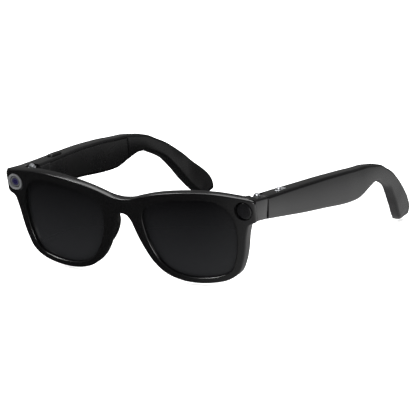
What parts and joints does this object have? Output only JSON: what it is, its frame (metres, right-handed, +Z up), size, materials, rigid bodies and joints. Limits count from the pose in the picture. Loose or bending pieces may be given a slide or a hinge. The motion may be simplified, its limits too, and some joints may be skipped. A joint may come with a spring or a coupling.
{
  "type": "smart glasses",
  "caption": "Thick-rimmed dark smart glasses with a camera in one endpiece, a recording light in the other and electronics in two folding temples.",
  "frame": {"origin": "bottom centre of the bounding box, on the surface that the rims and temple tips rest on", "axes": "+X is the wearer's left, +Y runs back from the front along the open temples, +Z is up"},
  "size_m": [0.1502, 0.156, 0.0477],
  "materials": {
    "frame": "black injection-moulded nylon, satin gloss with polished edges",
    "cover": "black moulded nylon, fine matte texture",
    "lens": "dark grey tinted sun lens, darker toward the top, high gloss",
    "pad": "black acetate block, polished",
    "steel": "satin stainless steel",
    "ring": "grey anodised aluminium, fine turned finish",
    "glass": "dark coated cover glass with a violet cast",
    "led": "smoked translucent polycarbonate, polished",
    "board": "green solder-masked circuit board",
    "chip": "black moulded component",
    "cell": "silver laminated pouch cell",
    "flex": "amber polyimide flexible circuit",
    "mesh": "fine dark woven steel mesh",
    "contact": "gold-plated contact"
  },
  "bodies": {
    "front": {"front_frame": "frame", "lens_left": "lens", "lens_right": "lens", "nose_pad_left": "pad", "nose_pad_right": "pad", "camera_trim_ring": "ring", "camera_cover_glass": "glass", "camera_lens_barrel": "chip", "camera_sensor_board": "board", "recording_light_window": "led", "recording_light_board": "board", "endpiece_cover_left": "cover", "endpiece_cover_right": "cover", "brow_flex_cable": "flex", "brow_channel_cover": "cover", "charging_contact_left": "contact", "charging_contact_right": "contact", "hinge_front_leaf_left": "steel", "hinge_front_leaf_right": "steel", "hinge_screw_left": "steel", "hinge_screw_right": "steel"},
    "temple_left": {"temple_shell_left": "frame", "temple_cover_left": "cover", "hinge_temple_leaf_left": "steel", "hinge_tongue_screw_left": "steel", "battery_left": "cell", "speaker_left": "chip", "speaker_mesh_left": "mesh", "microphone_left": "chip", "power_switch_plate": "steel", "power_switch_body": "chip", "power_board": "board"},
    "temple_right": {"temple_shell_right": "frame", "temple_cover_right": "cover", "hinge_temple_leaf_right": "steel", "hinge_tongue_screw_right": "steel", "battery_right": "cell", "speaker_right": "chip", "speaker_mesh_right": "mesh", "microphone_right": "chip", "capture_push_switch": "chip", "main_board": "board", "processor": "chip", "touch_sensor": "flex"},
    "capture_button": {"capture_button": "frame"},
    "power_switch_knob": {"power_switch_knob": "steel"}
  },
  "joints": [
    {"name": "temple_left_fold", "type": "hinge", "parent": "front", "child": "temple_left", "pos_m": [0.066, -0.05757, 0.0395], "axis": [0, -0.1444, 0.9895], "range_deg": [0, 90]},
    {"name": "temple_right_fold", "type": "hinge", "parent": "front", "child": "temple_right", "pos_m": [-0.066, -0.05757, 0.0395], "axis": [0, 0.1444, -0.9895], "range_deg": [0, 82]},
    {"name": "capture_button_press", "type": "slide", "parent": "temple_right", "child": "capture_button", "axis": [0, -0.0321, -0.9995], "range_m": [0, 0.0005], "stiffness_N_per_m": 300, "springref_m": -0.0003},
    {"name": "power_switch_slide", "type": "slide", "parent": "temple_left", "child": "power_switch_knob", "axis": [0, 0.9994, -0.0333], "range_m": [0, 0.0024]}
  ]
}
